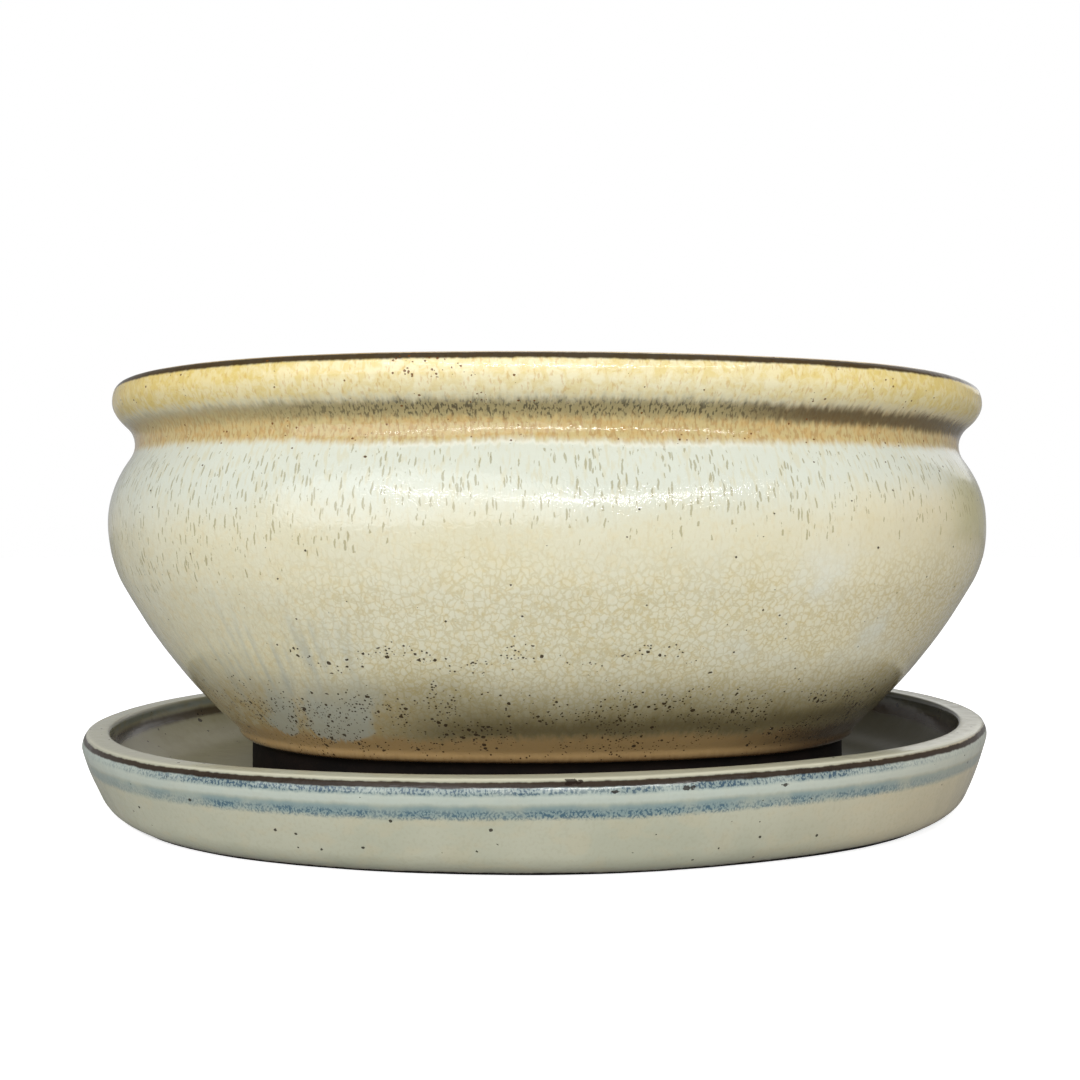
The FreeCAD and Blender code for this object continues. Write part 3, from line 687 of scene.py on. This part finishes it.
def neck_layer(n, at, colour):
    """Orange tan in the hollow, then olive grey glaze under the lip, darkened with painted shade,
    streaked with charcoal.
    """
    neck = n.both(n.step(at.edge(n), -1.2, 1.4), n.step(at.z, 108.5, 105.0))
    tan = n.blend(n.step(at.fleck, 0.45, 0.62), srgb(194, 174, 118), srgb(176, 144, 88))
    tan = n.blend(n.both(n.step(at.mottle, 0.46, 0.62), 0.5), tan, srgb(196, 158, 92))
    colour = n.blend(n.both(neck, 0.92), colour, tan)
    stipple = n.noise(at.flow, 0.55, 2.2, seed=12)
    # shade: olive glaze under the lip, darkened with painted shade where the lip overhangs, most in the
    # middle.
    centre = n.step(at.ends, 0.7, 0.0, 0.25, 1.0)
    shade = n.blend(n.both(n.step(stipple, 0.5, 0.62), centre), srgb(160, 148, 106), srgb(76, 72, 54))
    dark = n.blend(n.both(n.step(stipple, 0.45, 0.65), 0.4), srgb(88, 72, 44), srgb(68, 54, 34))
    shade = n.blend(n.step(at.x, 30.0, 62.0), shade, dark)
    height = n.add(at.z, n.math("MULTIPLY", at.ragged, 3.0), n.both(n.step(at.x, 30.0, 80.0), 0.6))
    olive = n.both(n.band(height, 103.8, 107.3, 1.1), n.step(at.left, 0.25, 0.9, 0.88, 0.4))
    return n.blend(olive, colour, shade)


def lip_layer(n, at, colour):
    """Yellow ochre and cream mottles, and a dark brown line just outside the crown."""
    lip = n.step(n.add(at.z, n.math("MULTIPLY", at.ragged, 3.0)), 107.0, 109.4)
    ochre_share = n.add(n.step(at.mottle, 0.36, 0.66, 0.0, 0.5), n.both(at.ends, 0.55))
    high = n.band(at.z, 112.5, 117.0, 1.2)
    ochre = n.blend(n.add(ochre_share, n.both(high, 0.22)), srgb(246, 238, 202), srgb(228, 204, 124))
    ochre = n.blend(n.both(n.step(at.fleck, 0.56, 0.7), 0.4), ochre, srgb(206, 160, 84))
    colour = n.blend(lip, colour, ochre)
    edge = n.add(at.run, n.math("MULTIPLY", centred(n, at.flow, 12.0, detail=3, seed=9), 1.0))
    edge = n.add(edge, n.math("MULTIPLY", at.ragged, 0.5))
    line = n.both(n.step(edge, -5.9, -5.2), n.step(edge, -3.3, -3.7))
    colour = n.blend(n.both(line, 0.95), colour, srgb(46, 28, 14))
    return n.blend(n.both(n.step(at.run, -3.8, -3.3), 0.7), colour, srgb(204, 166, 108))


def glaze_run(n, at, across, middle, half):
    """A run of glaze that ends in a round drop, with its middle and half its width in x."""
    offset = n.math("SUBTRACT", across, middle)
    height = n.add(at.uneven(n, 4.0, 3.0), n.both(offset, offset, -3.0 / half**2))
    return n.both(n.band(offset, -half, half, 2.0), n.step(height, 24.5, 25.8))


def low_layer(n, at, colour):
    """Olive that deepens downwards, a band of painted shade over a tan edge above the foot, and pale
    grey runs at the left.
    """
    low = at.uneven(n, 7.0, 3.0)
    olive = n.both(n.step(low, 48.0, 30.0), n.step(at.x, -68.0, -22.0, 0.42, 1.0))
    colour = n.blend(n.both(olive, 0.85), colour, srgb(126, 114, 75))
    # A band of painted shade just above the tan edge, from the middle to the right.
    shade = n.both(n.band(low, 27.0, 32.0, 2.5), n.step(at.x, -45.0, -12.0))
    colour = n.blend(n.both(shade, 0.65), colour, srgb(92, 80, 52))
    warm = n.both(n.step(low, 44.0, 30.0), n.step(at.x, -25.0, -55.0))
    colour = n.blend(n.both(warm, n.step(at.mottle, 0.4, 0.6, 0.4, 0.8)), colour, srgb(180, 154, 100))
    edge = n.step(at.uneven(n, 5.0, 3.0), 28.6, 25.4)
    tan = n.blend(n.step(at.x, 36.0, 76.0), srgb(176, 143, 96), srgb(66, 40, 24))
    colour = n.blend(n.both(edge, 0.85), colour, tan)
    across = n.add(at.x, n.math("MULTIPLY", at.ragged, 5.0), n.math("MULTIPLY", at.broad, 14.0))
    narrow, wide = glaze_run(n, at, across, -68.0, 5.0), glaze_run(n, at, across, -52.0, 8.5)
    runs = n.both(n.math("MAXIMUM", narrow, wide), n.step(at.z, 47.0, 32.0), at.front)
    colour = n.blend(n.both(runs, 0.72), colour, srgb(182, 188, 178))
    streak = n.noise(at.flow, 3.4, 6.0, detail=3, seed=10)
    across, upwards = n.band(at.x, -92.0, -48.0, 12.0), n.band(at.z, 34.0, 58.0, 9.0)
    streaks = n.both(n.step(streak, 0.42, 0.72), across, upwards)
    return n.blend(n.both(streaks, at.front, 0.46), colour, srgb(172, 180, 178))


def iron_specks(n, at):
    """How strongly iron specks show: thickest low down, with some in the neck and on the lip."""
    crowd = n.noise(at.place, 9.0, detail=3, seed=11)
    crowded = n.step(crowd, 0.4, 0.6)
    low = n.both(crowded, n.band(at.z, 22.0, 38.0, 5.0), n.step(at.ends, 0.9, 0.4, 0.35, 1.0))
    wave = n.add(at.z, n.math("MULTIPLY", n.math("SINE", n.math("MULTIPLY", at.x, 0.21)), 2.2))
    seam = n.both(n.band(wave, 46.5, 50.0, 1.2), n.band(at.x, -60.0, 30.0, 10.0))
    high = n.both(n.band(at.z, 98.0, 117.0, 1.5), n.step(crowd, 0.52, 0.68))
    rusty = n.both(n.band(at.x, -37.0, -23.0, 3.0), n.band(at.z, 112.0, 117.0, 1.0))
    amount = n.add(n.both(low, 1.3), n.both(seam, 0.45), n.both(high, 0.25), n.both(rusty, 0.8), 0.01)
    large = specks(n, at.flow, 2.0, 0.1, 0.34, n.both(n.add(low, seam), 0.7), 13)
    small = specks(n, at.flow, 0.9, 0.1, 0.36, amount, 14)
    lone = specks(n, at.flow, 8.0, 0.015, 0.04, 0.1, 19)
    return n.math("MAXIMUM", n.math("MAXIMUM", large, small), lone)


def glaze_end(n, colour, glaze, soft, rind, clay):
    """Bare clay past the edge of the glaze, with a rind of painted shade just inside that edge.

    rind is its width, its strength and its colour. Also gives 1 where there is glaze, and 0 past it.
    """
    width, strength, burnt = rind
    glazed = n.step(glaze, -0.1, soft)
    # Painted shade: the rind darkens the glaze just inside its edge, and burnt here is the colour of
    # that shade.
    colour = n.blend(n.both(n.step(glaze, width, 0.0), strength), colour, burnt)
    return n.blend(glazed, clay, colour), glazed


def fired_surface(n, place, glazed, relief, rough, clay_rough, seed):
    """Height and roughness: those given where there is glaze, and gritty clay where there is none."""
    bare = n.math("SUBTRACT", 1.0, glazed)
    grit = n.noise(place, 0.55, detail=3, seed=seed)
    height = n.add(n.both(glazed, relief), n.both(bare, grit, 0.9))
    return height, n.add(n.both(glazed, rough), n.both(bare, clay_rough))


def fired_specular(n, glazed, line):
    """The specular level: full on glaze, and low on bare clay and on the matt brown line."""
    return n.step(n.math("SUBTRACT", glazed, n.both(line, 0.9)), 0.0, 1.0, 0.12, 0.5)


def pot_end(n, at, colour):
    """The edges of the pot's glaze, above the foot and inside the lip."""
    ragged, broad = n.math("MULTIPLY", at.ragged, 1.4), n.math("MULTIPLY", at.broad, 2.0)
    glaze = n.add(n.attribute("glaze", "Fac"), ragged, broad)
    clay = clay_with_painted_shade(n, at.place, n.step(at.run, 0.0, 12.0))
    # The rind is painted shade at both glaze edges: under the belly above the foot, and inside the pot.
    return glaze_end(n, colour, glaze, 0.25, (3.4, 0.85, srgb(74, 44, 26)), clay)


def pot_relief(n, at, cell, thick, iron):
    """Orange peel, weaker where the glaze is thick, with raised net cells and sunken iron specks."""
    swell, fine = n.noise(at.flow, 3.6, 1.2, seed=15), n.noise(at.flow, 1.1, seed=18)
    peel = n.both(n.add(swell, n.both(fine, 0.3)), n.step(thick, 0.0, 1.0, 1.0, 0.35))
    relief = n.add(peel, n.math("MULTIPLY", cell, 0.16), n.math("MULTIPLY", iron, -0.5))
    return n.add(relief, n.math("MULTIPLY", thick, 0.8))


def pot_glaze():
    n = Nodes("pot_glaze")
    at = PotPlaces(n)
    colour, cell = belly_layer(n, at)
    colour, thick = shoulder_layer(n, at, colour)
    colour = low_layer(n, at, lip_layer(n, at, neck_layer(n, at, colour)))
    iron = iron_specks(n, at)
    rust = n.blend(n.step(at.z, 88.0, 104.0), srgb(46, 28, 12), srgb(112, 68, 26))
    colour = n.blend(n.both(iron, 0.9), colour, rust)
    colour, glazed = pot_end(n, at, colour)
    relief = pot_relief(n, at, cell, thick, iron)
    rough = n.step(n.noise(at.place, 18.0, detail=3, seed=17), 0.3, 0.7, 0.05, 0.11)
    surface, rough = fired_surface(n, at.place, glazed, relief, rough, 0.78, 16)
    specular = fired_specular(n, glazed, n.band(at.run, -5.4, -3.5, 0.3))
    return n.finish(colour, rough, n.bump(surface, GLAZE_RELIEF), GLAZE_IOR, specular)


class TrayPlaces:
    """Where a point of the tray is, and the slow and fine unevenness that its layers share."""

    def __init__(self, n):
        self.place, self.flow = n.place(), n.attribute("flow", "Vector")
        self.x, self.y, self.z = n.split(self.place)
        self.run = n.split(self.flow)[2]
        self.right = n.step(self.x, 30.0, 110.0)
        self.broad = centred(n, self.place, 26.0, seed=21)
        self.ragged = centred(n, self.flow, 1.8, 1.6, detail=3, seed=22)
        self.cloud = n.noise(self.flow, 6.0, 0.7, detail=3, seed=24)

    def height(self, n):
        """The height less the rim's climb to the right, moved up and down by the unevenness."""
        climb = n.math("MULTIPLY", self.x, -TRAY_CLIMB)
        return n.add(self.z, climb, self.broad, n.math("MULTIPLY", self.ragged, 0.8))


def tray_bands(n, at, colour):
    """Two bands of blue slip round the outside: a thin broken one, and a wide stippled one."""
    height = at.height(n)
    middle = n.step(n.math("ABSOLUTE", n.add(at.x, 8.0)), 112.0, 62.0, 0.15, 1.0)
    stipple = n.step(n.noise(at.flow, 0.5, 1.3, seed=23), 0.44, 0.6)
    patchy = n.step(n.noise(at.flow, 11.0, detail=3, seed=31), 0.36, 0.6, 0.45, 1.0)
    colour = n.blend(n.both(n.band(height, 18.6, 23.0, 0.6), 0.45), colour, srgb(186, 204, 204))
    strength = n.both(middle, patchy)
    wash = n.both(n.band(height, 20.7, 23.2, 0.5), n.step(stipple, 0, 1, 0.65, 1.0), strength)
    colour = n.blend(n.both(wash, 0.95), colour, srgb(92, 118, 124))
    line = n.both(n.band(height, 20.9, 22.2, 0.3), stipple, strength)
    colour = n.blend(n.both(line, 0.8), colour, srgb(52, 76, 98))
    wide = n.both(n.band(height, 15.4, 18.4, 0.8), n.step(patchy, 0.4, 1.0, 0.5, 0.8))
    colour = n.blend(n.both(wide, n.step(middle, 0, 1, 0.7, 1.0)), colour, srgb(116, 144, 150))
    dots = n.both(n.band(height, 15.1, 17.2, 0.6), stipple, strength)
    return n.blend(n.both(dots, 0.88), colour, srgb(62, 94, 114))


def tray_outside(n, at):
    """Grey cream, clouded and grained, warmer at the right, under the blue bands."""
    cream = n.blend(n.step(at.broad, -0.1, 0.1), srgb(191, 191, 171), srgb(185, 186, 166))
    cream = n.blend(n.both(n.step(at.cloud, 0.48, 0.66), 0.3), cream, srgb(198, 188, 158))
    cream = n.blend(n.both(at.right, 0.7), cream, srgb(208, 192, 160))
    grain = n.noise(at.flow, 0.8, 1.2, seed=32)
    cream = n.blend(n.both(n.step(grain, 0.5, 0.66), 0.16), cream, srgb(168, 160, 130))
    return tray_bands(n, at, cream)


def tray_inside(n, at):
    """Dull cream darkened with painted shade of the pot, clouded, with a faint blue line under the rim,
    and deep painted shade in dark olive at the right.
    """
    # The cream is dulled with painted shade of the pot.
    inside = n.blend(n.step(at.run, 3.0, 14.0), srgb(148, 145, 120), srgb(154, 148, 118))
    inside = n.blend(n.both(n.band(at.run, 3.6, 5.6, 0.8), 0.5), inside, srgb(120, 136, 140))
    inside = n.blend(n.both(n.step(at.cloud, 0.45, 0.65), 0.4), inside, srgb(140, 132, 102))
    # Painted shadow of the pot, in dark olive, over the right of the inside.
    return n.blend(n.both(n.step(at.x, 50.0, 90.0), 0.85), inside, srgb(66, 62, 46))


def tray_rim(n, at, colour):
    """A pale rim, partly pale glaze and partly painted light on its top, with a brown line outside it
    and one inside. Also gives where the outer one is.
    """
    # Pale glaze on the rim's top, made paler with painted light from above.
    top = n.band(at.run, -3.2, 2.6, 0.4)
    colour = n.blend(n.both(top, 0.75), colour, srgb(226, 224, 204))
    wander = n.add(at.run, n.math("MULTIPLY", centred(n, at.flow, 16.0, detail=3, seed=25), 0.9))
    wander = n.add(wander, n.math("MULTIPLY", at.ragged, 0.5))
    outer_line = n.band(wander, -4.9, -3.5, 0.24)
    inner_line = n.band(wander, 6.6, 9.8, 0.9)
    colour = n.blend(n.both(outer_line, 0.95), colour, srgb(44, 27, 14))
    return n.blend(n.both(inner_line, 0.85), colour, srgb(60, 44, 28)), outer_line


def blot(n, at, middle, level, size):
    """A ragged black mark of burnt iron, wider than it is tall."""
    across = n.math("DIVIDE", n.math("SUBTRACT", at.x, middle), size)
    up = n.math("DIVIDE", n.math("SUBTRACT", at.run, level), size * 0.4)
    ragged = n.both(centred(n, at.flow, 0.7, detail=3, seed=34), 5.0)
    return n.step(n.add(n.both(across, across), n.both(up, up), ragged), 1.0, 0.8)


def tray_iron(n, at):
    """How strongly iron shows: scattered specks, and the burnt marks at the front."""
    amount = n.both(n.step(n.noise(at.place, 14.0, seed=26), 0.45, 0.65), 0.10)
    scattered = specks(n, at.flow, 1.7, 0.1, 0.28, n.add(amount, 0.012), 27)
    lone = specks(n, at.flow, 11.0, 0.02, 0.07, 0.2, 33)
    marks = n.add(*[blot(n, at, *mark) for mark in IRON_MARKS])
    burnt = n.both(marks, n.step(at.y, -40.0, -60.0))
    return n.math("MAXIMUM", n.math("MAXIMUM", scattered, lone), burnt)


def tray_end(n, at, colour):
    """The edge of the tray's glaze round its base, which is higher up at the right."""
    glaze = n.add(n.attribute("glaze", "Fac"), at.ragged, n.math("MULTIPLY", at.broad, 1.2))
    glaze = n.add(glaze, n.both(at.right, -1.7), 0.6)
    clay = clay_with_painted_shade(n, at.place, 0.0)
    # The rind is painted shade at the base, where the tray meets the floor.
    return glaze_end(n, colour, glaze, 0.3, (1.2, 0.6, srgb(92, 66, 62)), clay)


def tray_glaze():
    n = Nodes("tray_glaze")
    at = TrayPlaces(n)
    colour = n.blend(n.step(at.run, -3.0, -3.6), tray_inside(n, at), tray_outside(n, at))
    colour, outer_line = tray_rim(n, at, colour)
    iron = tray_iron(n, at)
    colour = n.blend(n.both(iron, 0.88), colour, srgb(36, 26, 20))
    colour, glazed = tray_end(n, at, colour)
    relief = n.add(n.noise(at.flow, 3.6, 0.8, seed=28), n.math("MULTIPLY", iron, -0.5))
    rough = n.step(n.noise(at.place, 20.0, detail=3, seed=30), 0.3, 0.7, 0.1, 0.18)
    rough = n.add(rough, n.step(at.run, 6.0, 12.0, 0.0, 0.22))
    surface, rough = fired_surface(n, at.place, glazed, relief, rough, 0.8, 29)
    specular = fired_specular(n, glazed, outer_line)
    return n.finish(colour, rough, n.bump(surface, GLAZE_RELIEF), GLAZE_IOR, specular)


def mesh_plastic():
    """Matt black plastic with a little dust."""
    n = Nodes("mesh_plastic")
    place = n.place()
    dust = n.noise(place, 5.0, detail=4, seed=31)
    colour = n.blend(n.step(dust, 0.45, 0.75, 0.0, 0.5), srgb(34, 36, 34), srgb(78, 72, 62))
    weave = n.noise(place, 0.5, detail=2, seed=32)
    rough = n.step(dust, 0.3, 0.7, 0.42, 0.62)
    return n.finish(colour, rough, n.bump(weave, 0.06 * MM), ior=1.46)


def anodised_wire():
    """Brown anodised aluminium, scuffed to bare metal in places."""
    n = Nodes("anodised_wire")
    place = n.place()
    tone = n.noise(place, 6.0, detail=3, seed=33)
    colour = n.blend(n.step(tone, 0.35, 0.65), srgb(142, 92, 60), srgb(166, 112, 76))
    scuff = n.noise(place, 1.2, 0.3, detail=3, seed=34)
    worn = n.step(scuff, 0.66, 0.74, 0.0, 0.7)
    colour = n.blend(worn, colour, srgb(196, 186, 176))
    rough = n.step(tone, 0.3, 0.7, 0.3, 0.42)
    material = n.finish(colour, rough, n.bump(scuff, 0.05 * MM))
    n.shader.inputs["Metallic"].default_value = 1.0
    return material


def floor_paper():
    """Pale paper. It shows paler than the light it throws back up at the pot."""
    n = Nodes("floor_paper")
    place = n.place()
    tone = n.noise(place, 60.0, detail=4, seed=35)
    pale = n.blend(n.step(tone, 0.3, 0.7), srgb(248, 248, 247), srgb(251, 251, 250))
    seen = n.make("ShaderNodeLightPath").outputs["Is Camera Ray"]
    colour = n.blend(seen, FLOOR_BOUNCE, pale)
    n.shader.inputs["Emission Color"].default_value = (1.0, 1.0, 1.0, 1.0)
    n.plug(n.shader.inputs["Emission Strength"], n.math("MULTIPLY", seen, FLOOR_GLOW))
    return n.finish(colour, 0.9, n.bump(n.noise(place, 0.9, detail=2, seed=36), 0.04 * MM))


def paint(piece, material):
    piece.data.materials.clear()
    piece.data.materials.append(material)


# ---------------------------------------------------------------------------------------------
# Stage, light and camera
# ---------------------------------------------------------------------------------------------


def make_floor():
    bm = bmesh.new()
    bmesh.ops.create_circle(bm, cap_ends=True, segments=96, radius=FLOOR_RADIUS)
    mesh = bpy.data.meshes.new("floor")
    bm.to_mesh(mesh)
    bm.free()
    floor = new_piece("floor", mesh)
    paint(floor, floor_paper())


def make_world():
    """A white backdrop that lights the pot only faintly, a little more from the horizon."""
    world = bpy.data.worlds.new("studio")
    world.use_nodes = True
    bpy.context.scene.world = world
    nodes, links = world.node_tree.nodes, world.node_tree.links
    texture = nodes.new("ShaderNodeTexCoord")
    split = nodes.new("ShaderNodeSeparateXYZ")
    ramp = nodes.new("ShaderNodeValToRGB")
    seen = nodes.new("ShaderNodeLightPath")
    mix = nodes.new("ShaderNodeMix")
    mix.data_type = "RGBA"
    links.new(texture.outputs["Generated"], split.inputs[0])
    links.new(split.outputs["Z"], ramp.inputs["Fac"])
    links.new(seen.outputs["Is Camera Ray"], mix.inputs["Factor"])
    links.new(ramp.outputs["Color"], mix.inputs[6])
    mix.inputs[7].default_value = (1.0, 1.0, 1.0, 1.0)
    links.new(mix.outputs[2], nodes["Background"].inputs["Color"])
    ramp.color_ramp.elements[0].position = 0.0
    ramp.color_ramp.elements[0].color = HORIZON_LIGHT
    ramp.color_ramp.elements[1].position = OVERHEAD_FROM
    ramp.color_ramp.elements[1].color = OVERHEAD_LIGHT


def add_panel(name, shape, place, size, power, roll=0.0):
    """An upright lamp that faces the back, rolled about its own middle."""
    lamp = bpy.data.lights.new(name, "AREA")
    lamp.shape = shape
    lamp.size, lamp.size_y = size
    lamp.energy = power
    panel = bpy.data.objects.new(name, lamp)
    bpy.context.scene.collection.objects.link(panel)
    panel.location = place
    panel.rotation_euler = (math.radians(90), -roll, 0.0)
    panel.visible_camera = False
    return panel


def add_sky(name, power, height, side):
    """Broad light from a height above the table, turned from the front to the left, in degrees."""
    lamp = bpy.data.lights.new(name, "SUN")
    lamp.energy = power
    lamp.angle = math.radians(BROAD_ANGLE)
    sky = bpy.data.objects.new(name, lamp)
    bpy.context.scene.collection.objects.link(sky)
    sky.rotation_euler = (math.radians(90 - height), 0.0, math.radians(-side))


def make_lights():
    """Broad light from the front left and weakly from behind, and a window in front.

    The window is oval, with a bright sill that curves up at both ends.
    """
    add_sky("sky", SKY_POWER, SKY_HEIGHT, SKY_SIDE)
    add_sky("fill", FILL_POWER, FILL_HEIGHT, FILL_SIDE)
    place = (WINDOW_X, WINDOW_Y, WINDOW_Z)
    window = add_panel("window", "ELLIPSE", place, WINDOW_SIZE, WINDOW_POWER)
    window.data.color = WINDOW_TINT
    for piece in range(SILL_PIECES):
        across = (piece + 0.5) / SILL_PIECES * 2 - 1
        x = across * SILL_REACH
        height = SILL_LOW + SILL_BEND * x * x
        slope = math.atan(2 * SILL_BEND * x)
        length = 2 * SILL_REACH / SILL_PIECES / math.cos(slope)
        power = SILL_POWER * length * (1 - across**8)
        place = (WINDOW_X + x, WINDOW_Y, height)
        add_panel(f"sill_{piece}", "RECTANGLE", place, (length, SILL_THICK), power, slope)


def make_camera():
    data = bpy.data.cameras.new("camera")
    data.lens, data.sensor_width = CAMERA_LENS, CAMERA_SENSOR
    data.clip_start, data.clip_end = CAMERA_NEAR, CAMERA_FAR
    camera = bpy.data.objects.new("camera", data)
    bpy.context.scene.collection.objects.link(camera)
    camera.location = CAMERA_PLACE
    camera.rotation_euler = (math.radians(90 - CAMERA_DIP), 0.0, math.radians(-CAMERA_TURN))
    bpy.context.scene.camera = camera


bpy.context.scene.view_settings.view_transform = "Standard"
make_camera()
make_world()
make_lights()
make_floor()

pot = make_pot()
paint(pot, pot_glaze())
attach(pot, "pot")
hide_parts("pot_body")

tray = make_tray()
paint(tray, tray_glaze())
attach(tray, "tray")
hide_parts("drip_tray")

PLASTIC, WIRE = mesh_plastic(), anodised_wire()
for side in ("left", "right"):
    paint(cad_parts[f"drain_screen_{side}"], PLASTIC)
    paint(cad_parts[f"screen_clip_{side}"], WIRE)
    paint(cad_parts[f"tie_wire_{side}"], WIRE)
